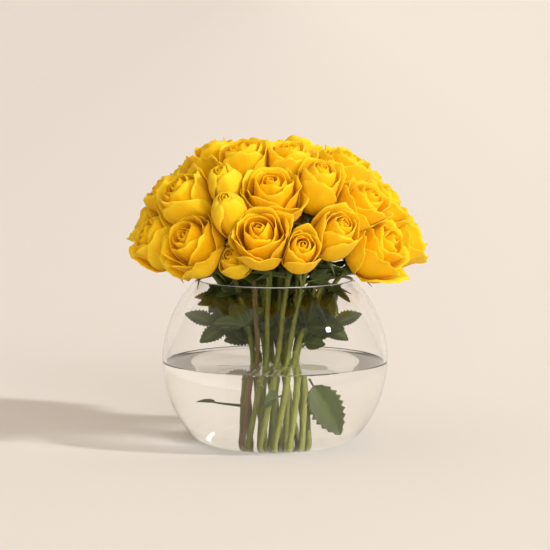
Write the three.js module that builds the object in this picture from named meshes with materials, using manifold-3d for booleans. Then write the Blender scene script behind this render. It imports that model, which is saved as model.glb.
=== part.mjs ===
// A bunch of yellow roses standing in a round glass bowl half full of water.
// Millimetres, +Z up. The origin is the centre of the bowl's flat foot, on the surface it stands on.
// Azimuths are in degrees from +X towards +Y, so the front of the bunch, at -Y, is at -90.
import * as THREE from "three";
import { mergeVertices } from "three/addons/utils/BufferGeometryUtils.js";
import Module from "manifold-3d";

const wasm = await Module();
wasm.setup();

// Bowl: a blown sphere, cut open at the mouth and pressed flat at the foot.
const BOWL_R = 100;
const BOWL_CENTRE_Z = 75;
const BOWL_HEIGHT = 147;
const FOOT_R = 52;
const FOOT_BLEND_Z = 12; // where the foot's rounding meets the sphere
const WALL = 3;
const FLOOR = 7;
const BOWL_SIDES = 32;

// Water: fills the bowl to just under its widest point.
const WATER_Z = 73;
const WATER_ARCS = 4; // facets of the wall from the foot to the water line

// Touching solids stand this far apart.
const GAP = 0.3;

// Roses: every bloom faces away from one focus, above the waist where the stems are gathered.
const FOCUS = new THREE.Vector3(0, 0, 118);
const BLOOM_SIDES = 8;
// A bloom's outline from its seat to its top, as shares of its diameter and of its length.
const BLOOM_OUTLINE = [
  [0, -0.5], [0.1, -0.5], [0.34, -0.36], [0.48, -0.1], [0.5, 0.18], [0.4, 0.4], [0.18, 0.5], [0, 0.5],
];
const HIP_LENGTH = 7;
const HIP_R = 4.2;

// Stems: straight and slightly spiralled below the waist, spread out above it.
const STEM_R = 2.6;
const BRANCH_R = 1.9;
const STEM_NECK = 24; // straight length under a stem's own bloom
const BRANCH_NECK = 20; // straight length under a side branch's bloom
const BOW = 6; // how far a stem arches up between the waist and its neck
const STEM_SIDES = 6;
const STEM_STEPS = 9;
const BRANCH_STEPS = 5;
const WAIST_Z = 82;
const STEM_END_Z = 9;
const SPIRAL = THREE.MathUtils.degToRad(-38);
const SPLAY = 1.15; // how much wider the bundle is at its cut ends than at the waist
const OUTER_RING_R = 20.5;
const INNER_RING_R = 9.5;
const FORK_AT = 0.52; // share of a stem's length at which its side branch leaves it

// Blooms: azimuth, distance from the axis, height of the middle, widest diameter, and length over width.
const BLOOMS = {
  bloom_01: { az: -29, r: 102, z: 179, d: 57, long: 0.95 },
  bloom_02: { az: -59, r: 99, z: 193, d: 42, long: 1.2 },
  bloom_03: { az: -78, r: 102, z: 180, d: 37, long: 1.15 },
  bloom_04: { az: -97, r: 100, z: 192, d: 54, long: 0.98 },
  bloom_05: { az: -114, r: 84, z: 170, d: 30, long: 1.1 },
  bloom_06: { az: -134, r: 100, z: 184, d: 57, long: 0.9 },
  bloom_07: { az: -164, r: 104, z: 182, d: 52, long: 0.9 },
  bloom_08: { az: 165, r: 104, z: 190, d: 57, long: 0.95 },
  bloom_09: { az: 137, r: 102, z: 184, d: 58, long: 0.9 },
  bloom_10: { az: 107, r: 102, z: 187, d: 58, long: 0.95 },
  bloom_11: { az: 76, r: 102, z: 184, d: 58, long: 0.9 },
  bloom_12: { az: 43, r: 102, z: 187, d: 58, long: 0.95 },
  bloom_13: { az: 8, r: 108, z: 184, d: 56, long: 0.95 },
  bloom_14: { az: -33, r: 88, z: 214, d: 54, long: 0.95 },
  bloom_15: { az: -59, r: 70, z: 233, d: 43, long: 1.15 },
  bloom_16: { az: -92, r: 74, z: 227, d: 57, long: 0.85 },
  bloom_17: { az: -113, r: 94, z: 211, d: 35, long: 1.35 },
  bloom_18: { az: -123, r: 76, z: 232, d: 33, long: 1.3 },
  bloom_19: { az: -147, r: 88, z: 218, d: 52, long: 1.05 },
  bloom_20: { az: 177, r: 96, z: 221, d: 52, long: 1.0 },
  bloom_21: { az: 151, r: 84, z: 229, d: 56, long: 0.95 },
  bloom_22: { az: 122, r: 84, z: 226, d: 57, long: 0.95 },
  bloom_23: { az: 91, r: 84, z: 226, d: 57, long: 0.95 },
  bloom_24: { az: 60, r: 84, z: 226, d: 57, long: 0.95 },
  bloom_25: { az: 30, r: 84, z: 228, d: 56, long: 0.95 },
  bloom_26: { az: -3, r: 98, z: 213, d: 52, long: 1.0 },
  bloom_27: { az: -14, r: 60, z: 241, d: 50, long: 1.0 },
  bloom_28: { az: -72, r: 36, z: 248, d: 48, long: 1.05 },
  bloom_29: { az: -128, r: 42, z: 249, d: 50, long: 1.0 },
  bloom_30: { az: 178, r: 54, z: 248, d: 54, long: 1.0 },
  bloom_31: { az: 121, r: 50, z: 245, d: 54, long: 0.95 },
  bloom_32: { az: 66, r: 50, z: 245, d: 54, long: 0.95 },
  bloom_33: { az: 20, r: 10, z: 248, d: 52, long: 0.95 },
  bloom_34: { az: 12, r: 58, z: 237, d: 42, long: 1.0 },
};

// Stems: the bloom that ends each one and the bloom on its side branch, if it has one.
const OUTER_STEMS = [
  ["bloom_13", "bloom_26"],
  ["bloom_01", "bloom_14"],
  ["bloom_02", "bloom_15"],
  ["bloom_03"],
  ["bloom_04", "bloom_16"],
  ["bloom_05", "bloom_17"],
  ["bloom_06", "bloom_19"],
  ["bloom_07", "bloom_20"],
  ["bloom_08", "bloom_21"],
  ["bloom_09", "bloom_22"],
  ["bloom_10", "bloom_23"],
  ["bloom_11", "bloom_24"],
  ["bloom_12", "bloom_25"],
];
const INNER_STEMS = [
  ["bloom_27", "bloom_34"],
  ["bloom_28"],
  ["bloom_29", "bloom_18"],
  ["bloom_30"],
  ["bloom_31"],
  ["bloom_32", "bloom_33"],
];
const OUTER_START_AZ = 0;
const INNER_START_AZ = -14;

// Leaves: the stem each grows on, how far up it, the way it points, its roll about that way,
// its number of leaflets and their length, and the length of its stalk.
const LEAVES = {
  leaf_bowl_left: { stem: "stem_08", at: 0.5, az: 186, rise: 22, roll: 60, blades: 3, length: 27, stalk: 27 },
  leaf_bowl_right: { stem: "stem_01", at: 0.5, az: -4, rise: 24, roll: -60, blades: 3, length: 25, stalk: 25 },
  leaf_water_right: { stem: "stem_01", at: 0.3, az: 0, rise: -60, roll: 75, blades: 1, length: 38, stalk: 6 },
  leaf_water_front: { stem: "stem_03", at: 0.24, az: -130, rise: -8, roll: 75, blades: 1, length: 21, stalk: 4 },
  leaf_water_left: { stem: "stem_07", at: 0.2, az: 180, rise: 6, roll: 20, blades: 1, length: 13, stalk: 16 },
};
const LEAF_THICKNESS = 0.9;
const RACHIS_R = 0.9;

const clear = (color, opacity) => (
  new THREE.MeshStandardMaterial({ color, opacity, transparent: true, roughness: 0.05 })
);
const matte = (color) => new THREE.MeshStandardMaterial({ color, roughness: 0.55 });
const GLASS = clear(0xf2f4f2, 0.3);
const WATER = clear(0xe8efec, 0.4);
const PETAL = matte(0xf7c81e);
const STALK = matte(0x5f7a34);
const LEAF = matte(0x2f5128);

function solid(geometry) {
  const bare = geometry.index ? geometry.toNonIndexed() : geometry.clone();
  for (const name of Object.keys(bare.attributes)) {
    if (name !== "position") bare.deleteAttribute(name);
  }
  const merged = mergeVertices(bare, 1e-3);
  return new wasm.Manifold(new wasm.Mesh({
    numProp: 3,
    vertProperties: merged.attributes.position.array,
    triVerts: new Uint32Array(merged.index.array),
  }));
}

function geometryOf(manifold) {
  const mesh = manifold.getMesh();
  const geometry = new THREE.BufferGeometry();
  geometry.setAttribute("position", new THREE.BufferAttribute(mesh.vertProperties, 3));
  geometry.setIndex(new THREE.BufferAttribute(mesh.triVerts, 1));
  geometry.computeVertexNormals();
  return geometry;
}

function meshNamed(name, geometry, material) {
  const mesh = new THREE.Mesh(geometry, material);
  mesh.name = name;
  return mesh;
}

// A lathe about +Z from a profile of (radius, height) points.
function turned(points, sides) {
  return new THREE.LatheGeometry(points, sides).rotateX(Math.PI / 2);
}

// One face of the bowl, from its flat part up a sphere of the given radius to the top angle.
// The points are (radius, height).
function wallProfile(path, radius, flatR, flatZ, topAngle, arcSteps) {
  const blendZ = FOOT_BLEND_Z + flatZ;
  const startAngle = Math.asin((blendZ - BOWL_CENTRE_Z) / radius);
  const meet = new THREE.Vector2(radius * Math.cos(startAngle), blendZ);
  const back = FOOT_BLEND_Z / Math.cos(startAngle);
  const corner = new THREE.Vector2(meet.x + back * Math.sin(startAngle), flatZ);
  path.push(new THREE.Vector2(0, flatZ));
  path.push(...new THREE.QuadraticBezierCurve(new THREE.Vector2(flatR, flatZ), corner, meet).getPoints(3));
  for (let i = 1; i <= arcSteps; i++) {
    const angle = startAngle + ((topAngle - startAngle) * i) / arcSteps;
    path.push(new THREE.Vector2(radius * Math.cos(angle), BOWL_CENTRE_Z + radius * Math.sin(angle)));
  }
  return path;
}

const innerR = BOWL_R - WALL;
const waterAngle = (radius) => Math.asin((WATER_Z - BOWL_CENTRE_Z) / radius);

function makeBowl() {
  const lipR = WALL / 2;
  const lipCentreR = BOWL_R - lipR;
  const rimAngle = Math.asin((BOWL_HEIGHT - lipR - BOWL_CENTRE_Z) / lipCentreR);
  const outer = wallProfile([], BOWL_R, FOOT_R, 0, rimAngle, 8);
  const lip = new THREE.EllipseCurve(
    lipCentreR * Math.cos(rimAngle), BOWL_CENTRE_Z + lipCentreR * Math.sin(rimAngle),
    lipR, lipR, rimAngle, rimAngle + Math.PI, false,
  ).getPoints(4);
  const inner = wallProfile([], innerR, FOOT_R - WALL, FLOOR, waterAngle(innerR), WATER_ARCS);
  for (let i = 1; i < 5; i++) {
    const angle = waterAngle(innerR) + ((rimAngle - waterAngle(innerR)) * i) / 5;
    inner.push(new THREE.Vector2(innerR * Math.cos(angle), BOWL_CENTRE_Z + innerR * Math.sin(angle)));
  }
  const profile = [...outer, ...lip.slice(1), ...inner.reverse()];
  return turned(profile, BOWL_SIDES);
}

function bloomFrame({ az, r, z }) {
  const a = THREE.MathUtils.degToRad(az);
  const middle = new THREE.Vector3(r * Math.cos(a), r * Math.sin(a), z);
  const facing = middle.clone().sub(FOCUS).normalize();
  return { middle, facing };
}

function hipTop(bloom) {
  const { middle, facing } = bloomFrame(bloom);
  return middle.clone().addScaledVector(facing, -0.5 * bloom.d * bloom.long - GAP);
}

// The head: a cup with a narrow seat and a rounded top, turned to face away from the focus.
function bloomGeometry(name) {
  const bloom = BLOOMS[name];
  const length = bloom.d * bloom.long;
  const profile = BLOOM_OUTLINE.map(([x, y]) => new THREE.Vector2(x * bloom.d, y * length));
  const geometry = turned(profile, BLOOM_SIDES);
  const { middle, facing } = bloomFrame(bloom);
  geometry.applyQuaternion(new THREE.Quaternion().setFromUnitVectors(new THREE.Vector3(0, 0, 1), facing));
  // Neighbours press each other flat where they meet, on the plane that shares the space by their sizes.
  const planes = Object.keys(BLOOMS).filter((other) => other !== name).map((other) => {
    const away = bloomFrame(BLOOMS[other]).middle.sub(middle);
    const apart = away.length();
    const share = (apart * apart + (bloom.d ** 2 - BLOOMS[other].d ** 2) / 4) / (2 * apart);
    return { normal: away.normalize(), reach: share - GAP / 2 };
  });
  const position = geometry.attributes.position;
  const point = new THREE.Vector3();
  for (let i = 0; i < position.count; i++) {
    point.fromBufferAttribute(position, i);
    for (const { normal, reach } of planes) {
      const along = point.dot(normal);
      if (along > reach) point.multiplyScalar(reach / along);
    }
    position.setXYZ(i, point.x, point.y, point.z);
  }
  return geometry.translate(middle.x, middle.y, middle.z);
}

function ringPoint(radius, azimuth, height) {
  return new THREE.Vector3(radius * Math.cos(azimuth), radius * Math.sin(azimuth), height);
}

function stemPath(bloom, waistR, waistAz) {
  const { facing } = bloomFrame(bloom);
  const end = hipTop(bloom).addScaledVector(facing, -HIP_LENGTH + 1);
  const neck = end.clone().addScaledVector(facing, -STEM_NECK);
  const middle = ringPoint(waistR, waistAz, WAIST_Z).lerp(neck, 0.5);
  middle.z += BOW;
  return new THREE.CatmullRomCurve3([
    ringPoint(waistR * SPLAY, waistAz + SPIRAL, STEM_END_Z),
    ringPoint(waistR, waistAz + SPIRAL / 2, (STEM_END_Z + WAIST_Z) / 2),
    ringPoint(waistR, waistAz, WAIST_Z),
    middle,
    neck,
    end,
  ], false, "centripetal");
}

function branchPath(main, bloom) {
  const { facing } = bloomFrame(bloom);
  const end = hipTop(bloom).addScaledVector(facing, -HIP_LENGTH + 1);
  const start = main.getPointAt(FORK_AT);
  const leaving = main.getPointAt(FORK_AT + 0.05).lerp(end, 0.12);
  const neck = end.clone().addScaledVector(facing, -BRANCH_NECK);
  return new THREE.CatmullRomCurve3([start, leaving, neck, end], false, "centripetal");
}

function tube(path, radius, steps) {
  const section = new THREE.Shape();
  for (let i = 0; i < STEM_SIDES; i++) {
    const angle = (2 * Math.PI * i) / STEM_SIDES;
    section[i ? "lineTo" : "moveTo"](radius * Math.cos(angle), radius * Math.sin(angle));
  }
  return new THREE.ExtrudeGeometry(section, { steps, extrudePath: path, bevelEnabled: false });
}

// The green hip that carries a bloom, ending just under the petals.
function hip(bloom) {
  const { facing } = bloomFrame(bloom);
  const top = hipTop(bloom);
  const profile = [[0, -HIP_LENGTH], [0.45 * HIP_R, -HIP_LENGTH], [HIP_R, -2], [0.8 * HIP_R, 0], [0, 0]];
  return turned(profile.map(([x, y]) => new THREE.Vector2(x, y)), STEM_SIDES)
    .applyQuaternion(new THREE.Quaternion().setFromUnitVectors(new THREE.Vector3(0, 0, 1), facing))
    .translate(top.x, top.y, top.z);
}

const stemPlans = [];
function planRing(list, radius, startAz) {
  list.forEach((names, i) => {
    const azimuth = THREE.MathUtils.degToRad(startAz) - (2 * Math.PI * i) / list.length;
    const main = stemPath(BLOOMS[names[0]], radius, azimuth);
    const number = String(stemPlans.length + 1).padStart(2, "0");
    stemPlans.push({ name: "stem_" + number, names, main });
  });
}
planRing(OUTER_STEMS, OUTER_RING_R, OUTER_START_AZ);
planRing(INNER_STEMS, INNER_RING_R, INNER_START_AZ);

function stemSolid({ names, main }) {
  let made = solid(tube(main, STEM_R, STEM_STEPS)).add(solid(hip(BLOOMS[names[0]])));
  if (names[1]) {
    const branch = branchPath(main, BLOOMS[names[1]]);
    made = made.add(solid(tube(branch, BRANCH_R, BRANCH_STEPS))).add(solid(hip(BLOOMS[names[1]])));
  }
  return made;
}

function leafletShape(length, grow) {
  const half = 0.31 * length + grow;
  const shape = new THREE.Shape();
  shape.moveTo(-grow, 0);
  shape.bezierCurveTo(0.15 * length, half * 1.25, 0.6 * length, half * 1.05, length + grow, 0);
  shape.bezierCurveTo(0.6 * length, -half * 1.05, 0.15 * length, -half * 1.25, -grow, 0);
  return shape;
}

// A rose leaf along its own +X: a stalk with one leaflet at its end and, if it has three, a pair beside it.
function leafSolid(plan, grow) {
  const stalkLength = plan.stalk;
  const thickness = LEAF_THICKNESS + 2 * grow;
  const outline = leafletShape(plan.length, grow);
  const options = { depth: thickness, steps: 1, curveSegments: 5, bevelEnabled: false };
  const plate = (turn, from) => solid(
    new THREE.ExtrudeGeometry(outline, options)
      .translate(0, 0, -thickness / 2).rotateZ(turn).translate(from, 0, 0),
  );
  const stalkSolid = solid(
    new THREE.CylinderGeometry(RACHIS_R + grow, RACHIS_R + grow, stalkLength + 2 + 2 * grow, STEM_SIDES)
      .rotateZ(Math.PI / 2).translate(stalkLength / 2 + 1, 0, 0),
  );
  let made = stalkSolid.add(plate(0, stalkLength));
  if (plan.blades > 1) {
    const turn = THREE.MathUtils.degToRad(58);
    made = made.add(plate(turn, 0.62 * stalkLength)).add(plate(-turn, 0.62 * stalkLength));
  }
  const main = stemPlans.find((s) => s.name === plan.stem).main;
  const a = THREE.MathUtils.degToRad(plan.az);
  const e = THREE.MathUtils.degToRad(plan.rise);
  const way = new THREE.Vector3(Math.cos(a) * Math.cos(e), Math.sin(a) * Math.cos(e), Math.sin(e));
  const side = new THREE.Vector3(0, 0, 1).cross(way).normalize();
  const up = way.clone().cross(side);
  const place = new THREE.Matrix4().makeBasis(way, side, up);
  place.multiply(new THREE.Matrix4().makeRotationX(THREE.MathUtils.degToRad(plan.roll)));
  const level = new THREE.Vector3(way.x, way.y, 0).normalize();
  const lean = main.getTangentAt(plan.at).dot(level);
  const standOff = (STEM_R + 1.6 * RACHIS_R * Math.abs(Math.sin(e))) * (1 + 0.8 * lean) + GAP;
  const from = main.getPointAt(plan.at).addScaledVector(level, standOff);
  place.setPosition(from);
  return solid(geometryOf(made).applyMatrix4(place));
}

function makeWater(stems) {
  const radius = innerR - GAP;
  const flatR = FOOT_R - WALL - GAP;
  const profile = wallProfile([], radius, flatR, FLOOR + GAP, waterAngle(radius), WATER_ARCS);
  profile.push(new THREE.Vector2(0, WATER_Z));
  let body = solid(turned(profile, BOWL_SIDES));
  for (const { main } of stems) {
    body = body.subtract(solid(tube(main, STEM_R + 1.5 * GAP, STEM_STEPS)));
  }
  for (const plan of Object.values(LEAVES)) {
    body = body.subtract(leafSolid(plan, 0.4));
  }
  return body;
}

const rosesInBowl = new THREE.Group();
rosesInBowl.add(meshNamed("bowl", makeBowl(), GLASS));
rosesInBowl.add(meshNamed("water", geometryOf(makeWater(stemPlans)), WATER));
for (const plan of stemPlans) {
  rosesInBowl.add(meshNamed(plan.name, geometryOf(stemSolid(plan)), STALK));
}
for (const [name, plan] of Object.entries(LEAVES)) {
  rosesInBowl.add(meshNamed(name, geometryOf(leafSolid(plan, 0)), LEAF));
}
for (const name of Object.keys(BLOOMS)) {
  rosesInBowl.add(meshNamed(name, bloomGeometry(name), PETAL));
}

export default rosesInBowl;
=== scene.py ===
"""Yellow roses in a round glass bowl of water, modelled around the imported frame."""

import math
import random

import bpy
import numpy as np
from bpy.props import FloatProperty, FloatVectorProperty, IntProperty, PointerProperty
from bpy.types import Operator, Panel, PropertyGroup
from mathutils import Matrix, Vector


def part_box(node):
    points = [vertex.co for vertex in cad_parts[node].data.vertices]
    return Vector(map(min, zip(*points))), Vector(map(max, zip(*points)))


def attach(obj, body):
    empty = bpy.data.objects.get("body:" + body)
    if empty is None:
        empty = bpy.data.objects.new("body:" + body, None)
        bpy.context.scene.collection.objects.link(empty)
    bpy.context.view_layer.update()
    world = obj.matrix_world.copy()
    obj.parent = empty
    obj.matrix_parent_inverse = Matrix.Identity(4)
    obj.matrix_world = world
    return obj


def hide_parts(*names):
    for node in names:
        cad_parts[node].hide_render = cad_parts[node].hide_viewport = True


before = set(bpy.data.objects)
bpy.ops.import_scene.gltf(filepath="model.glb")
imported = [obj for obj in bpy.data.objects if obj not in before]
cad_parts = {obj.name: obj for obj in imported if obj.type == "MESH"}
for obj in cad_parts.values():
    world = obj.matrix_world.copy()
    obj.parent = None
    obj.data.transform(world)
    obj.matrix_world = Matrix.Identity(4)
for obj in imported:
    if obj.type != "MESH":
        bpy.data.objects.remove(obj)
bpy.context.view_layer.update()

bl_info = {
    "name": "Roses in a Bowl",
    "version": (1, 0, 0),
    "blender": (4, 5, 0),
    "location": "3D View > Sidebar > Roses",
    "description": "Models a bunch of roses with petals, stems and leaves, standing in a glass bowl of water",
    "category": "Object",
}

MM = 0.001
TAU = 2 * math.pi

# Bowl and water, in millimetres.
BOWL_CENTRE_Z = 75
BOWL_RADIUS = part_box("bowl")[1].x / MM
BOWL_TOP_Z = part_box("bowl")[1].z / MM
FOOT_R = 52
FOOT_BLEND_Z = 12
WALL = 3
FLOOR = 7
WATER_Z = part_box("water")[1].z / MM
MENISCUS_RISE = 1.6
MENISCUS_WIDTH = 5
WATER_INTO_WALL = 0.4  # the water's skin lies this far inside the glass, so no air shows between them

# Stems, in millimetres and degrees: two rings at the waist, spiralled and splayed below it.
FOCUS = Vector((0, 0, 118))  # every rose faces away from this point
WAIST_Z = 82
STEM_END_Z = 9
SPIRAL = math.radians(-38)
SPLAY = 1.15
BOW = 6
STEM_NECK = 24
BRANCH_NECK = 20
FORK_AT = 0.52
HIP_LENGTH = 7
OUTER_RING_R = 20.5
INNER_RING_R = 9.5
INNER_START_AZ = -14

# The rose that ends each stem, and the rose on its side branch.
OUTER_STEMS = [(13, 26), (1, 14), (2, 15), (3,), (4, 16), (5, 17), (6, 19),
               (7, 20), (8, 21), (9, 22), (10, 23), (11, 24), (12, 25)]
INNER_STEMS = [(27, 34), (28,), (29, 18), (30,), (31,), (32, 33)]

# Each rose: widest diameter in millimetres, how far it has opened from 0 to 1, and its turn in degrees
# about its own axis.
ROSES = {
    1: (57, 0.95, 20), 2: (42, 0.42, 80), 3: (37, 0.45, 200), 4: (54, 0.72, 140), 5: (30, 0.3, 0),
    6: (57, 0.85, 60), 7: (52, 0.7, 10), 8: (57, 0.8, 90), 9: (58, 0.85, 200), 10: (58, 0.75, 300),
    11: (58, 0.9, 150), 12: (58, 0.8, 45), 13: (56, 0.95, 250), 14: (54, 0.9, 310), 15: (43, 0.45, 30),
    16: (57, 0.95, 75), 17: (35, 0.05, 120), 18: (33, 0.1, 260), 19: (52, 0.5, 330), 20: (52, 0.75, 15),
    21: (56, 0.85, 100), 22: (57, 0.8, 220), 23: (57, 0.9, 340), 24: (57, 0.75, 60), 25: (56, 0.85, 190),
    26: (52, 0.85, 280), 27: (50, 0.7, 25), 28: (48, 0.65, 130), 29: (50, 0.6, 240), 30: (54, 0.9, 350),
    31: (54, 0.85, 70), 32: (54, 0.8, 170), 33: (52, 0.9, 290), 34: (42, 0.5, 5),
}

# How a petal stands, from its claw to its tip: shares of the rose's half width and of its length.
SHUT = [(0.10, 0.00), (0.52, 0.08), (0.86, 0.32), (0.88, 0.60), (0.60, 0.86), (0.20, 1.00)]
CUPPED = [(0.10, 0.00), (0.50, 0.05), (0.82, 0.26), (0.88, 0.54), (0.90, 0.80), (0.98, 0.96)]
SPREAD = [(0.10, 0.00), (0.50, 0.01), (0.84, 0.16), (0.98, 0.40), (1.08, 0.60), (1.20, 0.66)]

# Roses that lean a little towards the middle of the bunch or out of it, in millimetres along x and z.
LEANS = {20: (7, -4), 26: (-7, -3), 21: (4, -2), 30: (4, 0), 25: (-4, -1), 13: (3, -2)}

FULLNESS = 1.08  # petals spread a little past the simple solids, until their neighbours stop them

# Leaves: stem number, share of its length, azimuth, rise and roll in degrees, leaflets, their length
# and the length of the stalk in millimetres.
LEAVES = {
    "leaf_bowl_left": (8, 0.5, 186, 22, 60, 3, 27, 27),
    "leaf_bowl_right": (1, 0.5, -4, 24, -60, 3, 25, 25),
    "leaf_water_right": (1, 0.3, 0, -60, 75, 1, 38, 6),
    "leaf_water_front": (3, 0.24, -130, -8, 75, 1, 21, 4),
    "leaf_water_left": (7, 0.2, 180, 6, 20, 1, 13, 16),
}
SIDE_LEAFLET_TURN = math.radians(58)
BROWNED_STEM = 6
BROWNED_DARK = (0.10, 0.08, 0.02)
BROWNED_PALE = (0.36, 0.20, 0.09)
GOLDEN_TURN = math.radians(137.5)  # from one petal of a rose to the next

# More leaves on each stem: share of its length, lowest and highest rise in degrees. The front stems
# have leaves only just under the roses, so that they stay in sight above the water.
FOLIAGE_SIDES = [
    (0.46, 45, 80), (0.54, 35, 70), (0.60, 25, 60), (0.68, 5, 40), (0.80, -25, 15), (0.88, -20, 20),
]
FOLIAGE_FRONT = [(0.80, -10, 20), (0.88, -10, 20)]
FOLIAGE_INNER = [(0.40, 55, 88), (0.48, 45, 85), (0.60, 30, 70), (0.70, 20, 60)]
FRONT_STEM_Y = -18  # a stem that passes in front of this is a front stem
LEAF_TRIES = 12

# Glass and water.
GLASS_INDEX = 1.34
RIM_INDEX = 1.45
WATER_INDEX = 1.333
GLASS_PASSES = 0.92  # share of the lamps' light that passes one surface of the glass
WATER_PASSES = 0.35  # and of the water, which throws most of it aside
UNGATHERED = 0.65  # share of scattered light that goes straight through the glass and the water

# Camera, lamps and room, in metres; a lamp's spread is in degrees.
CAMERA_PLACE = (0, -2.5, 0.4257)
CAMERA_TILT_DOWN = math.radians(6.29)
KEY_FROM = Vector((0.80, -0.37, 0.5))
KEY_SPREAD = 5
KEY_COLOUR = (1.0, 0.98, 0.93)
FRONT_FROM = Vector((0.30, -0.95, 0.12))
FRONT_SPREAD = 50
FRONT_COLOUR = (1.0, 0.97, 0.92)
FLOOR_SIZE = 60
ROOM_LIGHT = (0.60, 0.50, 0.40)
ROOM_BEHIND = (0.84, 0.74, 0.62)
ROOM_IN_FRONT = (0.30, 0.26, 0.215)


# ---------------------------------------------------------------- settings

class GlassSettings(PropertyGroup):
    radius: FloatProperty(name="Bowl radius", description="Outer radius of the glass sphere",
                          default=(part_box("bowl")[1].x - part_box("bowl")[0].x) / 2, unit="LENGTH")
    tint: FloatVectorProperty(name="Glass tint", description="Colour of the clear glass",
                              default=(1.0, 1.0, 0.998), subtype="COLOR", size=3, min=0, max=1)
    water_tint: FloatVectorProperty(name="Water tint", description="Colour of the water",
                                    default=(1.0, 1.0, 0.99), subtype="COLOR", size=3, min=0, max=1)
    sides: IntProperty(name="Sides", description="Steps round the bowl", default=96, min=24)


class RoseSettings(PropertyGroup):
    # The heart colour is painted shade: deep orange where the petals crowd at the heart and the claw.
    heart: FloatVectorProperty(name="Heart", description="Colour deep between the petals",
                               default=(1.0, 0.34, 0.002), subtype="COLOR", size=3, min=0, max=1)
    petal: FloatVectorProperty(name="Petal", description="Main colour of the petals",
                               default=(1.0, 0.685, 0.007), subtype="COLOR", size=3, min=0, max=1)
    # The rim colour is a painted highlight on the petal rims that curl into the light.
    rim: FloatVectorProperty(name="Petal rim", description="Colour at the petals' rims",
                             default=(1.0, 0.80, 0.035), subtype="COLOR", size=3, min=0, max=1)
    thickness: FloatProperty(name="Petal thickness", description="Thickness of a petal",
                             default=0.4 * MM, unit="LENGTH")
    ruffle: FloatProperty(name="Ruffle", description="How wavy the petals' rims are", default=1.0, min=0)
    cells: IntProperty(name="Petal cells", description="Cells along each side of a petal", default=14, min=6)


class GreenSettings(PropertyGroup):
    stem: FloatVectorProperty(name="Stem", description="Colour of the stems",
                              default=(0.085, 0.092, 0.014), subtype="COLOR", size=3, min=0, max=1)
    leaf: FloatVectorProperty(name="Leaf", description="Colour of the leaves",
                              default=(0.040, 0.056, 0.010), subtype="COLOR", size=3, min=0, max=1)
    stem_radius: FloatProperty(name="Stem radius", description="Radius of a stem",
                               default=2.25 * MM, unit="LENGTH")
    branch_radius: FloatProperty(name="Branch radius", description="Radius of a side branch",
                                 default=1.7 * MM, unit="LENGTH")
    hip_radius: FloatProperty(name="Hip radius", description="Radius of the hip under a rose",
                              default=4.2 * MM, unit="LENGTH")


class StageSettings(PropertyGroup):
    floor: FloatVectorProperty(name="Floor", description="Colour of the floor",
                               default=(0.765, 0.745, 0.735), subtype="COLOR", size=3, min=0, max=1)
    key: FloatProperty(name="Key light", description="Strength of the key light", default=2.35, min=0)
    front: FloatProperty(name="Front fill", description="Strength of the soft light from the front",
                         default=3.0, min=0)
    fill: FloatProperty(name="Fill light", description="Strength of the light all round",
                        default=1.0, min=0)
    lens: FloatProperty(name="Lens", description="Focal length of the camera in millimetres",
                        default=186, min=1)


# ---------------------------------------------------------------- shader helpers

def node(tree, kind, place=(0, 0), **values):
    """Adds a shader node and sets its properties and its sockets' constants."""
    made = tree.nodes.new(kind)
    made.location = place
    for name, value in values.items():
        if name.startswith("in_"):
            key = name[3:]
            made.inputs[int(key) if key.isdigit() else key.replace("_", " ")].default_value = value
        else:
            setattr(made, name, value)
    return made


def ramp(tree, source, stops, place=(0, 0)):
    """A colour ramp fed by a socket, with stops of (position, colour)."""
    made = node(tree, "ShaderNodeValToRGB", place)
    band = made.color_ramp
    while len(band.elements) < len(stops):
        band.elements.new(1.0)
    for element, (position, colour) in zip(band.elements, stops):
        element.position = position
        element.color = (*colour[:3], 1)
    tree.links.new(source, made.inputs["Fac"])
    return made.outputs["Color"]


def mix_colour(tree, factor, first, second, blend="MIX", place=(0, 0)):
    """Mixes two colours, each a socket or a constant."""
    made = node(tree, "ShaderNodeMix", place, data_type="RGBA", blend_type=blend)
    for socket, value in ((made.inputs[0], factor), (made.inputs[6], first), (made.inputs[7], second)):
        if isinstance(value, bpy.types.NodeSocket):
            tree.links.new(value, socket)
        elif socket.type == "RGBA":
            socket.default_value = (*value[:3], 1)
        else:
            socket.default_value = value
    return made.outputs[2]


def new_material(name):
    """An empty node material and its output node."""
    material = bpy.data.materials.new(name)
    material.use_nodes = True
    material.node_tree.nodes.clear()
    return material, node(material.node_tree, "ShaderNodeOutputMaterial", (900, 0))


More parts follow.
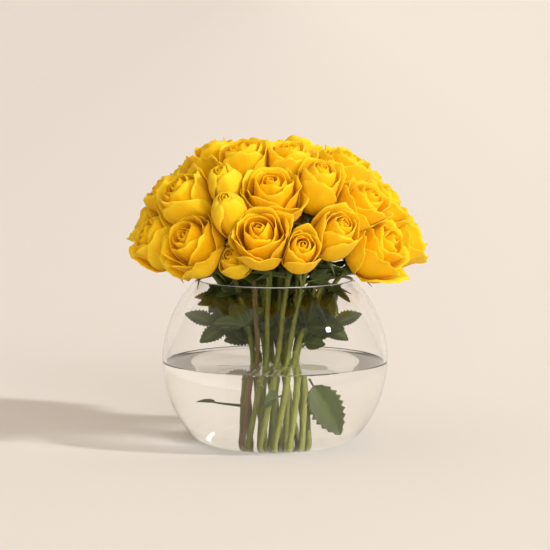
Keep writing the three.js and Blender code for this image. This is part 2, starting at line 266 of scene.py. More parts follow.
def veins_group():
    """Fine veins that run along a blade's UV map from its base and fan towards its rim."""
    name = "Blade Veins"
    if name in bpy.data.node_groups:
        return bpy.data.node_groups[name]
    tree = bpy.data.node_groups.new(name, "ShaderNodeTree")
    face = tree.interface
    for label, default in (("Count", 26.0), ("Length", 2.0), ("Wander", 0.35)):
        face.new_socket(name=label, in_out="INPUT", socket_type="NodeSocketFloat").default_value = default
    face.new_socket(name="Veins", in_out="OUTPUT", socket_type="NodeSocketFloat")
    face.new_socket(name="Crumple", in_out="OUTPUT", socket_type="NodeSocketFloat")
    inputs = node(tree, "NodeGroupInput", (-900, 0))
    outputs = node(tree, "NodeGroupOutput", (700, 0))
    uv = node(tree, "ShaderNodeUVMap", (-900, 300), uv_map="blade")
    split = node(tree, "ShaderNodeSeparateXYZ", (-700, 300))
    across = node(tree, "ShaderNodeMath", (-450, 350), operation="MULTIPLY")
    along = node(tree, "ShaderNodeMath", (-450, 150), operation="MULTIPLY")
    join = node(tree, "ShaderNodeCombineXYZ", (-250, 250))
    stretched = node(tree, "ShaderNodeTexNoise", (-50, 250), in_Scale=1.0, in_Detail=3.0, in_Roughness=0.55)
    place = node(tree, "ShaderNodeTexCoord", (-700, -200))
    broad = node(tree, "ShaderNodeTexNoise", (-50, -150), in_Scale=120.0, in_Detail=4.0, in_Roughness=0.6)
    links = tree.links
    links.new(uv.outputs["UV"], split.inputs[0])
    links.new(split.outputs["X"], across.inputs[0])
    links.new(inputs.outputs["Count"], across.inputs[1])
    links.new(split.outputs["Y"], along.inputs[0])
    links.new(inputs.outputs["Length"], along.inputs[1])
    links.new(across.outputs[0], join.inputs[0])
    links.new(along.outputs[0], join.inputs[1])
    links.new(join.outputs[0], stretched.inputs["Vector"])
    links.new(inputs.outputs["Wander"], stretched.inputs["Distortion"])
    links.new(place.outputs["Object"], broad.inputs["Vector"])
    links.new(stretched.outputs["Fac"], outputs.inputs["Veins"])
    links.new(broad.outputs["Fac"], outputs.inputs["Crumple"])
    return tree


def mottle_group():
    """Soft blotches of two sizes in object space, as on living skin."""
    name = "Living Mottle"
    if name in bpy.data.node_groups:
        return bpy.data.node_groups[name]
    tree = bpy.data.node_groups.new(name, "ShaderNodeTree")
    face = tree.interface
    for label, default in (("Broad Scale", 45.0), ("Fine Scale", 400.0)):
        face.new_socket(name=label, in_out="INPUT", socket_type="NodeSocketFloat").default_value = default
    face.new_socket(name="Broad", in_out="OUTPUT", socket_type="NodeSocketFloat")
    face.new_socket(name="Fine", in_out="OUTPUT", socket_type="NodeSocketFloat")
    inputs = node(tree, "NodeGroupInput", (-600, 0))
    outputs = node(tree, "NodeGroupOutput", (400, 0))
    place = node(tree, "ShaderNodeTexCoord", (-600, -200))
    for label, y in (("Broad", 150), ("Fine", -150)):
        noise = node(tree, "ShaderNodeTexNoise", (-200, y), in_Detail=3.0, in_Roughness=0.6)
        tree.links.new(place.outputs["Object"], noise.inputs["Vector"])
        tree.links.new(inputs.outputs[label + " Scale"], noise.inputs["Scale"])
        tree.links.new(noise.outputs["Fac"], outputs.inputs[label])
    return tree


def group_node(tree, group, place, **values):
    """Places a node group in a material with its own values."""
    made = node(tree, "ShaderNodeGroup", place)
    made.node_tree = group
    for name, value in values.items():
        made.inputs[name.replace("_", " ")].default_value = value
    return made


def petal_material(settings):
    """Satin petals: painted shade in deep orange at the claw and between the inner petals, yellow above, a
    painted highlight on the pale rim, fine veins, light shining through.
    """
    material, output = new_material("Rose Petal")
    tree = material.node_tree
    links = tree.links
    tone = node(tree, "ShaderNodeAttribute", (-900, 200), attribute_name="tone")
    mottle = group_node(tree, mottle_group(), (-900, -50), Broad_Scale=60.0, Fine_Scale=700.0)
    veins = group_node(tree, veins_group(), (-900, -300), Count=30.0, Length=2.5, Wander=0.4)
    sway = node(tree, "ShaderNodeMapRange", (-700, 0), in_3=-0.12, in_4=0.12)
    links.new(mottle.outputs["Broad"], sway.inputs[0])
    shifted = node(tree, "ShaderNodeMath", (-500, 150), operation="ADD", use_clamp=True)
    links.new(tone.outputs["Fac"], shifted.inputs[0])
    links.new(sway.outputs[0], shifted.inputs[1])
    # Painted shade at the low end of the ramp, a painted highlight at its top.
    stops = [(0.0, settings.heart), (0.42, settings.petal), (0.80, settings.petal), (1.0, settings.rim)]
    body = ramp(tree, shifted.outputs[0], stops, (-300, 150))
    lines = node(tree, "ShaderNodeMapRange", (-500, -250),
                 in_1=0.35, in_2=0.65, in_3=0.96, in_4=1.02)
    links.new(veins.outputs["Veins"], lines.inputs[0])
    colour = mix_colour(tree, 1.0, body, lines.outputs[0], "MULTIPLY", (0, 100))
    height = node(tree, "ShaderNodeMath", (-300, -250), operation="MULTIPLY_ADD", in_1=0.6)
    links.new(veins.outputs["Crumple"], height.inputs[0])
    links.new(veins.outputs["Veins"], height.inputs[2])
    bump = node(tree, "ShaderNodeBump", (0, -250), in_Strength=0.25, in_Distance=0.0006)
    links.new(height.outputs[0], bump.inputs["Height"])
    rough = node(tree, "ShaderNodeMapRange", (0, -50), in_3=0.42, in_4=0.62)
    links.new(mottle.outputs["Fine"], rough.inputs[0])
    skin = node(tree, "ShaderNodeBsdfPrincipled", (250, 100))
    skin.inputs["Specular IOR Level"].default_value = 0.2
    skin.inputs["Sheen Weight"].default_value = 0.04
    skin.inputs["Sheen Roughness"].default_value = 0.4
    through = node(tree, "ShaderNodeBsdfTranslucent", (250, -300))
    both = node(tree, "ShaderNodeMixShader", (650, 0), in_0=0.45)
    links.new(colour, skin.inputs["Base Color"])
    links.new(rough.outputs[0], skin.inputs["Roughness"])
    links.new(bump.outputs[0], skin.inputs["Normal"])
    links.new(colour, through.inputs["Color"])
    links.new(bump.outputs[0], through.inputs["Normal"])
    links.new(skin.outputs[0], both.inputs[1])
    links.new(through.outputs[0], both.inputs[2])
    links.new(both.outputs[0], output.inputs["Surface"])
    return material


def green_material(name, dark, pale, roughness, shine_through, coat=0.0):
    """Green skin that runs from dark to pale along the tone attribute, which holds painted light and shade
    besides each part's own tone, mottled, with fine streaks.
    """
    material, output = new_material(name)
    tree = material.node_tree
    links = tree.links
    tone = node(tree, "ShaderNodeAttribute", (-900, 200), attribute_name="tone")
    mottle = group_node(tree, mottle_group(), (-900, -50), Broad_Scale=55.0, Fine_Scale=500.0)
    veins = group_node(tree, veins_group(), (-900, -300), Count=12.0, Length=6.0, Wander=0.8)
    sway = node(tree, "ShaderNodeMapRange", (-700, 0), in_1=0.3, in_2=0.7, in_3=-0.2, in_4=0.2)
    links.new(mottle.outputs["Broad"], sway.inputs[0])
    shifted = node(tree, "ShaderNodeMath", (-500, 150), operation="ADD", use_clamp=True)
    links.new(tone.outputs["Fac"], shifted.inputs[0])
    links.new(sway.outputs[0], shifted.inputs[1])
    body = ramp(tree, shifted.outputs[0], [(0.0, dark), (1.0, pale)], (-300, 150))
    lines = node(tree, "ShaderNodeMapRange", (-500, -250), in_1=0.3, in_2=0.7, in_3=0.8, in_4=1.15)
    links.new(veins.outputs["Veins"], lines.inputs[0])
    colour = mix_colour(tree, 1.0, body, lines.outputs[0], "MULTIPLY", (0, 100))
    bump = node(tree, "ShaderNodeBump", (0, -250), in_Strength=0.3, in_Distance=0.0005)
    links.new(veins.outputs["Veins"], bump.inputs["Height"])
    rough = node(tree, "ShaderNodeMapRange", (0, -50), in_3=roughness - 0.1, in_4=roughness + 0.1)
    links.new(mottle.outputs["Fine"], rough.inputs[0])
    skin = node(tree, "ShaderNodeBsdfPrincipled", (250, 100))
    skin.inputs["Coat Weight"].default_value = coat
    skin.inputs["Coat Roughness"].default_value = 0.3
    through = node(tree, "ShaderNodeBsdfTranslucent", (250, -300))
    both = node(tree, "ShaderNodeMixShader", (650, 0), in_0=shine_through)
    links.new(colour, skin.inputs["Base Color"])
    links.new(rough.outputs[0], skin.inputs["Roughness"])
    links.new(bump.outputs[0], skin.inputs["Normal"])
    links.new(colour, through.inputs["Color"])
    links.new(skin.outputs[0], both.inputs[1])
    links.new(through.outputs[0], both.inputs[2])
    links.new(both.outputs[0], output.inputs["Surface"])
    return material


def clear_material(name, tint, ior, wave_scale, wave_depth, passes):
    """Clear glass or water with a faint unevenness.

    Lamps reach what stands inside it at the share that passes, and it gathers only part of the light
    that a real lens would on the floor behind it.
    """
    material, output = new_material(name)
    tree = material.node_tree
    links = tree.links
    mottle = group_node(tree, mottle_group(), (-600, -100), Broad_Scale=wave_scale, Fine_Scale=wave_scale * 6)
    bump = node(tree, "ShaderNodeBump", (-300, -150), in_Strength=0.2, in_Distance=wave_depth)
    links.new(mottle.outputs["Broad"], bump.inputs["Height"])
    body = node(tree, "ShaderNodeBsdfPrincipled", (0, 100))
    body.inputs["Base Color"].default_value = (*tint, 1)
    body.inputs["Roughness"].default_value = 0.0
    body.inputs["IOR"].default_value = ior
    body.inputs["Transmission Weight"].default_value = 1.0
    links.new(bump.outputs[0], body.inputs["Normal"])
    straight = node(tree, "ShaderNodeBsdfTransparent", (0, -450), in_Color=(1, 1, 1, 1))
    open_way = node(tree, "ShaderNodeBsdfTransparent", (0, -300), in_Color=(passes, passes, passes, 1))
    path = node(tree, "ShaderNodeLightPath", (0, 400))
    weak_lens = node(tree, "ShaderNodeMixShader", (250, -150), in_0=UNGATHERED)
    lens = node(tree, "ShaderNodeMixShader", (450, 0))
    both = node(tree, "ShaderNodeMixShader", (650, 0))
    layers = ((weak_lens, body, straight), (lens, body, weak_lens), (both, lens, open_way))
    for mixer, first, second in layers:
        links.new(first.outputs[0], mixer.inputs[1])
        links.new(second.outputs[0], mixer.inputs[2])
    links.new(path.outputs["Is Diffuse Ray"], lens.inputs[0])
    links.new(path.outputs["Is Shadow Ray"], both.inputs[0])
    links.new(both.outputs[0], output.inputs["Surface"])
    return material


def floor_material(colour):
    """Matt seamless paper, with painted light: a little brighter towards the right, where the key light
    falls.
    """
    material, output = new_material("Pale Paper")
    tree = material.node_tree
    links = tree.links
    place = node(tree, "ShaderNodeTexCoord", (-900, 0))
    split = node(tree, "ShaderNodeSeparateXYZ", (-700, 0))
    side = node(tree, "ShaderNodeMapRange", (-500, 0), in_1=-0.6, in_2=0.6, in_3=0.0, in_4=1.0)
    grain = node(tree, "ShaderNodeTexNoise", (-500, -250), in_Scale=900.0, in_Detail=2.0)
    links.new(place.outputs["Object"], split.inputs[0])
    links.new(place.outputs["Object"], grain.inputs["Vector"])
    links.new(split.outputs["X"], side.inputs[0])
    # Painted light: the paper darkens to the left and brightens to the right, away from and towards the key
    # light.
    left = [0.93 * c for c in colour]
    right = [1.06 * c for c in colour]
    shade = ramp(tree, side.outputs[0], [(0.0, left), (1.0, right)], (-200, 0))
    bump = node(tree, "ShaderNodeBump", (0, -250), in_Strength=0.05, in_Distance=0.0002)
    links.new(grain.outputs["Fac"], bump.inputs["Height"])
    paper = node(tree, "ShaderNodeBsdfPrincipled", (300, 0), in_Roughness=0.9)
    paper.inputs["Specular IOR Level"].default_value = 0.15
    links.new(shade, paper.inputs["Base Color"])
    links.new(bump.outputs[0], paper.inputs["Normal"])
    links.new(paper.outputs[0], output.inputs["Surface"])
    return material


# ---------------------------------------------------------------- mesh helpers

def object_mode():
    """Leaves edit mode and deselects everything."""
    if bpy.context.mode != "OBJECT":
        bpy.ops.object.mode_set(mode="OBJECT")
    bpy.ops.object.select_all(action="DESELECT")


def make_active(piece):
    """Selects one piece alone and makes it active."""
    object_mode()
    piece.select_set(True)
    bpy.context.view_layer.objects.active = piece


def apply_modifier(piece, kind, **values):
    """Adds a modifier to a piece, sets it and applies it."""
    make_active(piece)
    modifier = piece.modifiers.new(kind.title(), kind)
    for name, value in values.items():
        setattr(modifier, name, value)
    bpy.ops.object.modifier_apply(modifier=modifier.name)


def finish_piece(piece, name, material, replaced=()):
    """Names a piece, gives it its material, and ties it to the frame."""
    piece.name = name
    piece.data.name = name
    piece.data.materials.clear()
    piece.data.materials.append(material)
    make_active(piece)
    bpy.ops.object.shade_smooth()
    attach(piece, "root")
    if replaced:
        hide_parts(*replaced)


def mesh_piece(name, parts):
    """One object from parts, each (points, quads, tones, uvs) with a tone and a UV for each point."""
    points, quads, tones, uvs = [], [], [], []
    start = 0
    for part_points, part_quads, part_tones, part_uvs in parts:
        points.append(part_points)
        quads += [[start + i for i in face] for face in part_quads]
        tones.append(part_tones)
        uvs.append(part_uvs)
        start += len(part_points)
    mesh = bpy.data.meshes.new(name)
    mesh.from_pydata(np.vstack(points).tolist(), [], quads)
    mesh.attributes.new("tone", "FLOAT", "POINT").data.foreach_set("value", np.concatenate(tones))
    corner = np.empty(len(mesh.loops), dtype=np.int32)
    mesh.loops.foreach_get("vertex_index", corner)
    layer = mesh.uv_layers.new(name="blade")
    layer.data.foreach_set("uv", np.vstack(uvs)[corner].ravel())
    mesh.validate()
    piece = bpy.data.objects.new(name, mesh)
    bpy.context.scene.collection.objects.link(piece)
    return piece


def grid_faces(rows, columns):
    """Quads of a grid of points stored row by row."""
    return [[r * columns + c, r * columns + c + 1, (r + 1) * columns + c + 1, (r + 1) * columns + c]
            for r in range(rows - 1) for c in range(columns - 1)]


def tube_faces(rings, sides):
    """Quads of rings of points joined one to the next, with a fan shut at each end by one face."""
    faces = [[r * sides + c, r * sides + (c + 1) % sides,
              (r + 1) * sides + (c + 1) % sides, (r + 1) * sides + c]
             for r in range(rings - 1) for c in range(sides)]
    faces.append(list(range(sides))[::-1])
    faces.append([(rings - 1) * sides + c for c in range(sides)])
    return faces


def smooth_step(low, high, value):
    """0 below low, 1 above high, and smooth between."""
    share = np.clip((value - low) / (high - low), 0, 1)
    return share * share * (3 - 2 * share)


# ---------------------------------------------------------------- places from the frame

def node_points(name):
    """A CAD node's points in millimetres."""
    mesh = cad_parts[name].data
    points = np.empty(len(mesh.vertices) * 3)
    mesh.vertices.foreach_get("co", points)
    return points.reshape(-1, 3) / MM


def rose_place(number):
    """A rose's seat, the way it faces and its length, in millimetres."""
    points = node_points(f"bloom_{number:02d}")
    focus = np.array(FOCUS)
    seat = points[np.argmin(np.linalg.norm(points - focus, axis=1))]
    facing = (seat - focus) / np.linalg.norm(seat - focus)
    length = float(((points - seat) @ facing).max())
    lean_x, lean_z = LEANS.get(number, (0, 0))
    return seat + (lean_x, 0, lean_z), facing, length


PLACES = {number: rose_place(number) for number in ROSES}


def smooth_path(points, count):
    """Points evenly spaced on a centripetal Catmull-Rom curve through the given points."""
    knots = np.array([tuple(p) for p in points], float)
    knots = np.vstack([2 * knots[0] - knots[1], knots, 2 * knots[-1] - knots[-2]])
    dense = []
    for a, b, c, d in zip(knots, knots[1:], knots[2:], knots[3:]):
        t1 = np.linalg.norm(b - a) ** 0.5
        t2 = t1 + np.linalg.norm(c - b) ** 0.5
        t3 = t2 + np.linalg.norm(d - c) ** 0.5
        t = np.linspace(t1, t2, 40)[:, None]
        ab = (t1 - t) / t1 * a + t / t1 * b
        bc = (t2 - t) / (t2 - t1) * b + (t - t1) / (t2 - t1) * c
        cd = (t3 - t) / (t3 - t2) * c + (t - t2) / (t3 - t2) * d
        abc = (t2 - t) / t2 * ab + t / t2 * bc
        bcd = (t3 - t) / (t3 - t1) * bc + (t - t1) / (t3 - t1) * cd
        dense.append((t2 - t) / (t2 - t1) * abc + (t - t1) / (t2 - t1) * bcd)
    dense = np.vstack(dense)
    run = np.concatenate([[0], np.cumsum(np.linalg.norm(np.diff(dense, axis=0), axis=1))])
    wanted = np.linspace(0, run[-1], count)
    return np.column_stack([np.interp(wanted, run, dense[:, i]) for i in range(3)])


def ring_point(radius, azimuth, height):
    return np.array([radius * math.cos(azimuth), radius * math.sin(azimuth), height])


def hip_foot(number):
    """Where the stem meets the hip under a rose, and the way the rose faces."""
    seat, facing, _ = PLACES[number]
    return seat - facing * HIP_LENGTH, facing


def stem_path(number, ring_r, azimuth):
    """A stem from its cut end in the water, through the waist, to the hip of its rose."""
    end, facing = hip_foot(number)
    neck = end - facing * STEM_NECK
    middle = (ring_point(ring_r, azimuth, WAIST_Z) + neck) / 2 + np.array([0, 0, BOW])
    return smooth_path([
        ring_point(ring_r * SPLAY, azimuth + SPIRAL, STEM_END_Z),
        ring_point(ring_r, azimuth + SPIRAL / 2, (STEM_END_Z + WAIST_Z) / 2),
        ring_point(ring_r, azimuth, WAIST_Z),
        middle, neck, end,
    ], 64)


def along(path, share):
    """A point on a path at a share of its length."""
    place = share * (len(path) - 1)
    low = min(int(place), len(path) - 2)
    return path[low] + (path[low + 1] - path[low]) * (place - low)


def branch_path(main, number):
    """A side branch from a stem to the hip of its own rose."""
    end, facing = hip_foot(number)
    leaving = along(main, FORK_AT + 0.05)
    leaving = leaving + 0.12 * (end - leaving)
    return smooth_path([along(main, FORK_AT), leaving, end - facing * BRANCH_NECK, end], 36)


def plan_stems():
    """Each stem's number, its roses and its path."""
    plans = []
    rings = ((OUTER_STEMS, OUTER_RING_R, 0), (INNER_STEMS, INNER_RING_R, INNER_START_AZ))
    for ring, radius, start in rings:
        for i, roses in enumerate(ring):
            azimuth = math.radians(start) - TAU * i / len(ring)
            plans.append((len(plans) + 1, roses, stem_path(roses[0], radius, azimuth)))
    return plans


STEMS = plan_stems()


# ---------------------------------------------------------------- roses

def standing(openness, share):
    """Radius and height of a petal at a share of its length, for how far it has opened."""
    if openness < 0.5:
        first, second, blend = SHUT, CUPPED, openness * 2
    else:
        first, second, blend = CUPPED, SPREAD, openness * 2 - 1
    keys = (1 - blend) * np.array(first) + blend * np.array(second)
    curve = smooth_path(np.column_stack([keys, np.zeros(len(keys))]), 60)
    place = np.linspace(0, 1, len(curve))
    return np.interp(share, place, curve[:, 0]), np.interp(share, place, curve[:, 1])


def petal(layer, opened, width_share, turn, cells, rng, ruffle):
    """One petal in shares of the rose's half width and length: points, tones that carry painted shade and a
    painted highlight, and UVs.

    layer runs from 0 at the heart to 1 outside.
    """
    side = np.linspace(-1, 1, cells + 1)
    rise = np.linspace(0, 1, cells + 1)
    u, v = np.meshgrid(side, rise)
    top = 1 - 0.24 * np.abs(u) ** 2.6 + 0.02 * np.exp(-((u / 0.13) ** 2)) * layer
    share = v ** 0.85 * top
    own_open = float(np.clip(opened * layer ** 1.1 + rng.uniform(-0.07, 0.07), 0, 1))
    radius, height = standing(own_open, share / 1.05)
    size = 0.14 + 0.86 * layer ** 0.85
    radius = radius * size
    height = 0.03 * (1 - layer) + height * (0.98 - 0.16 * opened * (1 - layer) - rng.uniform(0, 0.05))
    broad = 0.25 + 0.75 * np.sin(np.pi / 2 * np.clip(share / 0.62, 0, 1)) ** 0.9
    reach = np.clip(width_share * broad / np.maximum(radius, 0.05), 0, 2.7)
    azimuth = turn + u * reach + rng.uniform(-0.06, 0.06) * v
    # One side tucks under the next petal and the other lies over it.
    radius = radius + 0.035 * u * (0.4 + layer)
    # Sides and top roll back.
    loose = layer * (0.35 + 0.65 * own_open)
    roll = smooth_step(0.60, 1.05, share) ** 1.5 * (0.45 + 0.55 * np.abs(u) ** 1.5)
    roll += 0.5 * np.abs(u) ** 5 * smooth_step(0.25, 0.7, share)
    lip = smooth_step(0.84, 1.0, np.maximum(v, np.abs(u) * smooth_step(0.3, 0.8, v)))
    radius = radius + loose * (0.13 * roll + 0.05 * lip)
    height = height - loose * (0.10 * roll ** 1.6 + 0.045 * lip ** 2)
    # Waves along the rim, and a crease down the middle.
    free = smooth_step(0.5, 1.0, share) * ruffle * (0.6 + 0.9 * opened) * (0.25 + 0.75 * layer)
    waves = 0.035 * np.sin(TAU * rng.uniform(0.7, 1.3) * u + rng.uniform(0, TAU))
    waves += 0.014 * np.sin(TAU * rng.uniform(2.0, 3.2) * u + rng.uniform(0, TAU))
    radius = radius + free * waves - 0.02 * np.exp(-((u / 0.1) ** 2)) * share
    height = height + free * 0.02 * np.sin(TAU * rng.uniform(1.2, 2.4) * u + rng.uniform(0, TAU))
    points = np.stack([radius * np.cos(azimuth), radius * np.sin(azimuth), height], axis=-1)
    # Painted shade and painted highlight: darker towards the claw and on the inner petals, where shade falls
    # between them, and paler at the rims that curl into the light.
    tone = 0.10 + 0.55 * smooth_step(0.0, 0.75, share) + 0.25 * layer
    tone += 0.22 * smooth_step(0.80, 1.0, np.maximum(v, np.abs(u) * share)) * (0.3 + 0.7 * layer)
    uv = np.stack([0.5 + 0.5 * u, v], axis=-1)
    return points.reshape(-1, 3), np.clip(tone, 0, 1).ravel(), uv.reshape(-1, 2)


def press_against(points, number):
    """Petals that meet a neighbouring rose bend flat before the plane between the two."""
    seat, facing, length = PLACES[number]
    middle = seat + facing * length / 2
    width = ROSES[number][0]
    for other, (other_seat, other_facing, other_length) in PLACES.items():
        if other == number:
            continue
        away = other_seat + other_facing * other_length / 2 - middle
        apart = np.linalg.norm(away)
        if apart > 90:
            continue
        away = away / apart
        share = (apart ** 2 + (width ** 2 - ROSES[other][0] ** 2) / 4) / (2 * apart)
        start = 0.80 * share
        room = share - start
        reach = (points - middle) @ away
        past = np.maximum(reach - start, 0)
        pressed = room * (1 - np.exp(-past / room))
        points = points + np.outer(pressed - past, away)
    return points


def rose_parts(number, cells, ruffle):
    """All petals of one rose, in place, in millimetres."""
    width, openness, turn = ROSES[number]
    seat, facing, length = PLACES[number]
    rng = random.Random(1000 + number)
    basis = Vector(facing).to_track_quat("Z", "Y").to_matrix()
    basis = np.array(basis @ Matrix.Rotation(math.radians(turn), 3, "Z"))
    scale = np.array([width / 2, width / 2, length]) * FULLNESS
    count = round(6 + width / 5.5)
    parts = []
    for i in range(count):
        layer = (i / (count - 1)) ** 0.9
        azimuth = i * GOLDEN_TURN + rng.uniform(-0.12, 0.12)
        share = rng.uniform(0.80, 0.96) if layer > 0.35 else rng.uniform(0.50, 0.60)
        points, tones, uvs = petal(layer, openness, share, azimuth, cells, rng, ruffle)
        points = seat + (points * scale) @ basis.T
        points = press_against(points, number)
        parts.append((points * MM, grid_faces(cells + 1, cells + 1), tones, uvs))
    return parts


# ---------------------------------------------------------------- greens

def sweep(path, radii, sides, tone):
    """A round tube along a path, with a radius at each of its points: one part in metres."""
    tangents = np.gradient(path, axis=0)
    tangents /= np.linalg.norm(tangents, axis=1)[:, None]
    normal = np.cross(tangents[0], (0.3, 0.9, 0.1))
    rings = []
    for point, tangent, radius in zip(path, tangents, radii):
        normal = normal - tangent * (normal @ tangent)
        normal /= np.linalg.norm(normal)
        other = np.cross(tangent, normal)
        angles = np.arange(sides) * TAU / sides
        rings.append(point + radius * (np.outer(np.cos(angles), normal) + np.outer(np.sin(angles), other)))
    uv = [(c / sides, r / len(path)) for r in range(len(path)) for c in range(sides)]
    tones = np.repeat(tone if np.ndim(tone) else np.full(len(path), tone), sides)
    return np.vstack(rings) * MM, tube_faces(len(path), sides), tones, np.array(uv)


def thorn(place, outward, down, size, tone):
    """A hooked thorn that stands out from a stem and bends down at its tip."""
    shares = np.linspace(0, 1, 5)
    path = np.array([place + outward * size * s + down * size * 0.45 * s ** 2 for s in shares])
    return sweep(path, 0.42 * size * (1 - shares) ** 1.2 + 0.04, 6, tone)


def sepal(seat, facing, turn, length, width, bend, rng):
    """One pointed green sepal that leaves the hip under a rose and bends away from it."""
    rows, columns = 12, 5
    side_way = Vector(facing).orthogonal().normalized()
    side_way.rotate(Matrix.Rotation(turn, 3, Vector(facing)))
    out_way = np.array(side_way)
    across = np.cross(facing, out_way)
    points, tones, uvs = [], [], []
    lean = rng.uniform(-0.25, 0.25)
    angle = math.radians(78)
    spot = np.array(seat) + out_way * 3.0
    for r in range(rows):
        share = r / (rows - 1)
        half = width / 2 * (1 - share ** 1.6) * (0.75 + 0.5 * math.sin(math.pi * min(share * 1.6, 1)))
        for c in range(columns):
            over = 2 * c / (columns - 1) - 1
            rest = spot + across * over * half + across * lean * length * share ** 2
            points.append(rest - facing * abs(over) * half * 0.35)
            tones.append(0.25 + 0.3 * share)
            uvs.append((c / (columns - 1), share))
        angle += bend / rows
        spot = spot + (out_way * math.sin(angle) + facing * math.cos(angle)) * length / (rows - 1)
    return np.array(points) * MM, grid_faces(rows, columns), np.array(tones), np.array(uvs)


def hip_part(number, hip_r):
    """The swollen green hip and its short neck under a rose."""
    seat, facing, _ = PLACES[number]
    shares = np.linspace(0, 1, 12)
    path = seat - np.outer(HIP_LENGTH + 5 - shares * (HIP_LENGTH + 6), facing)
    swell = smooth_step(0.1, 0.75, shares) * (1 - 0.25 * smooth_step(0.85, 1, shares))
    return sweep(path, 1.9 + (hip_r - 1.9) * swell, 12, 0.35)


def stem_tones(path, own):
    """Painted light and shade on the stems: paler under water, and dark under the roses; each also has a tone
    of its own.
    """
    # Painted light under the water, and painted shade under the roses.
    pale = 0.45 * smooth_step(WATER_Z + 6, WATER_Z - 20, path[:, 2])
    return 0.22 + pale + own * (1 - 0.7 * smooth_step(BOWL_TOP_Z - 25, BOWL_TOP_Z + 5, path[:, 2]))


def stem_parts(plan, settings):
    """One stem with its side branch, thorns and hips: solid parts."""
    number, roses, main = plan
    rng = random.Random(2000 + number)
    radius = settings.stem_radius / MM
    steps = np.linspace(0, 1, len(main))
    swell = 1 + 0.05 * np.sin(steps * 37 + number) + 0.03 * np.sin(steps * 91 + 2 * number)
    for knot in (0.24, 0.43, FORK_AT, 0.7):
        swell += 0.16 * np.exp(-(((steps - knot - rng.uniform(-0.03, 0.03)) / 0.008) ** 2))
    radii = radius * swell * rng.uniform(0.88, 1.08) * (1 - 0.2 * smooth_step(0.55, 1, steps))
    own = rng.uniform(-0.2, 0.35)
    hip_r = settings.hip_radius / MM
    parts = [sweep(main, radii, 12, stem_tones(main, own)), hip_part(roses[0], hip_r)]
    if len(roses) > 1:
        side = branch_path(main, roses[1])
        thin = settings.branch_radius / MM
        wave = 1 + 0.05 * np.sin(np.linspace(0, 20, len(side)) + number)
        parts += [sweep(side, thin * wave, 10, stem_tones(side, own)), hip_part(roses[1], hip_r)]
    for _ in range(rng.randint(3, 6)):
        share = rng.uniform(0.28, 0.72)
        place = along(main, share)
        tangent = along(main, share + 0.02) - place
        tangent /= np.linalg.norm(tangent)
        aside = (math.cos(rng.uniform(0, TAU)), math.sin(rng.uniform(0, TAU)), 0.2)
        outward = np.cross(tangent, aside)
        outward /= np.linalg.norm(outward)
        parts.append(thorn(place + outward * radius * 0.7, outward, -tangent, rng.uniform(2.2, 3.4), 0.9))
    return parts


def leaflet(length, rng, teeth=9):
    """A rose leaflet along +X from its base: toothed rim, folded along its rib, drooping tip. Millimetres."""
    rows, columns = 2 * teeth + 1, 9
    points, tones, uvs = [], [], []
    droop = rng.uniform(0.05, 0.16)
    twist = rng.uniform(-0.2, 0.2)
    for r in range(rows):
        share = r / (rows - 1)
        half = 0.34 * length * math.sin(math.pi * share ** 0.8) ** 0.75
        tooth = (1.0 if r % 2 else 0.80) if 0 < r < rows - 1 else 1.0
        for c in range(columns):
            over = 2 * c / (columns - 1) - 1
            rim = tooth if abs(over) > 0.9 else 1.0
            lag = 0.03 * length * abs(over)
            x = share * length - lag * (1 - share) + (0.012 * length if rim > 0.99 and abs(over) > 0.9 else 0)
            y = half * over * rim
            ribs = 0.012 * length * abs(math.sin(math.pi * (share * 7 - abs(over) * 1.6))) * abs(over)
            z = 0.22 * abs(y) - droop * length * share ** 2 + twist * y * share + ribs
            points.append((x, y, z))
            tones.append(0.15 + 0.5 * math.exp(-((over / 0.08) ** 2)) + 0.1 * abs(over))
            uvs.append((c / (columns - 1), share))
    return np.array(points), grid_faces(rows, columns), np.array(tones), np.array(uvs)


def moved(part, matrix):
    """A part in millimetres, moved by a matrix in millimetres, in metres."""
    points, faces, tones, uvs = part
    rotation = np.array(matrix.to_3x3())
    points = points @ rotation.T + np.array(matrix.translation)
    # Blades under the water get painted light: they are made paler.
    return points * MM, faces, tones + 0.4 * (points[:, 2] < WATER_Z), uvs


def leaf_parts(place, leaflets, length, stalk_length, rng):
    """A rose leaf from a placing matrix: blades, and the stalk that carries them."""
    blades = [moved(leaflet(length, rng), place @ Matrix.Translation((stalk_length, 0, 0)))]
    if leaflets > 1:
        for turn in (SIDE_LEAFLET_TURN, -SIDE_LEAFLET_TURN):
            beside = Matrix.Translation((0.62 * stalk_length, 0, 0)) @ Matrix.Rotation(turn, 4, "Z")
            blades.append(moved(leaflet(length, rng), place @ beside))
    line = [place @ Vector((x * stalk_length, 0, 0)) for x in (-0.05, 0.4, 0.8, 1.05)]
    path = smooth_path(line, 14)
    stalk = sweep(path, np.linspace(1.0, 0.6, len(path)), 8, 0.6)
    return blades, stalk


def leaf_place(plan):
    """The matrix that stands a leaf on its stem: +X along the leaf, +Z its upper face."""
    stem, share, azimuth, rise, roll = plan[:5]
    a, e = math.radians(azimuth), math.radians(rise)
    way = Vector((math.cos(a) * math.cos(e), math.sin(a) * math.cos(e), math.sin(e)))
    side = Vector((0, 0, 1)).cross(way).normalized()
    up = way.cross(side)
    turned = Matrix((way, side, up)).transposed().to_4x4() @ Matrix.Rotation(math.radians(roll), 4, "X")
    main = STEMS[stem - 1][2]
    tangent = Vector(along(main, share + 0.01) - along(main, share)).normalized()
    level = Vector((way.x, way.y, 0)).normalized()
    stand_off = (2.6 + 1.44 * abs(math.sin(e))) * (1 + 0.8 * tangent.dot(level)) + 0.3
    return Matrix.Translation(Vector(along(main, share)) + level * stand_off) @ turned


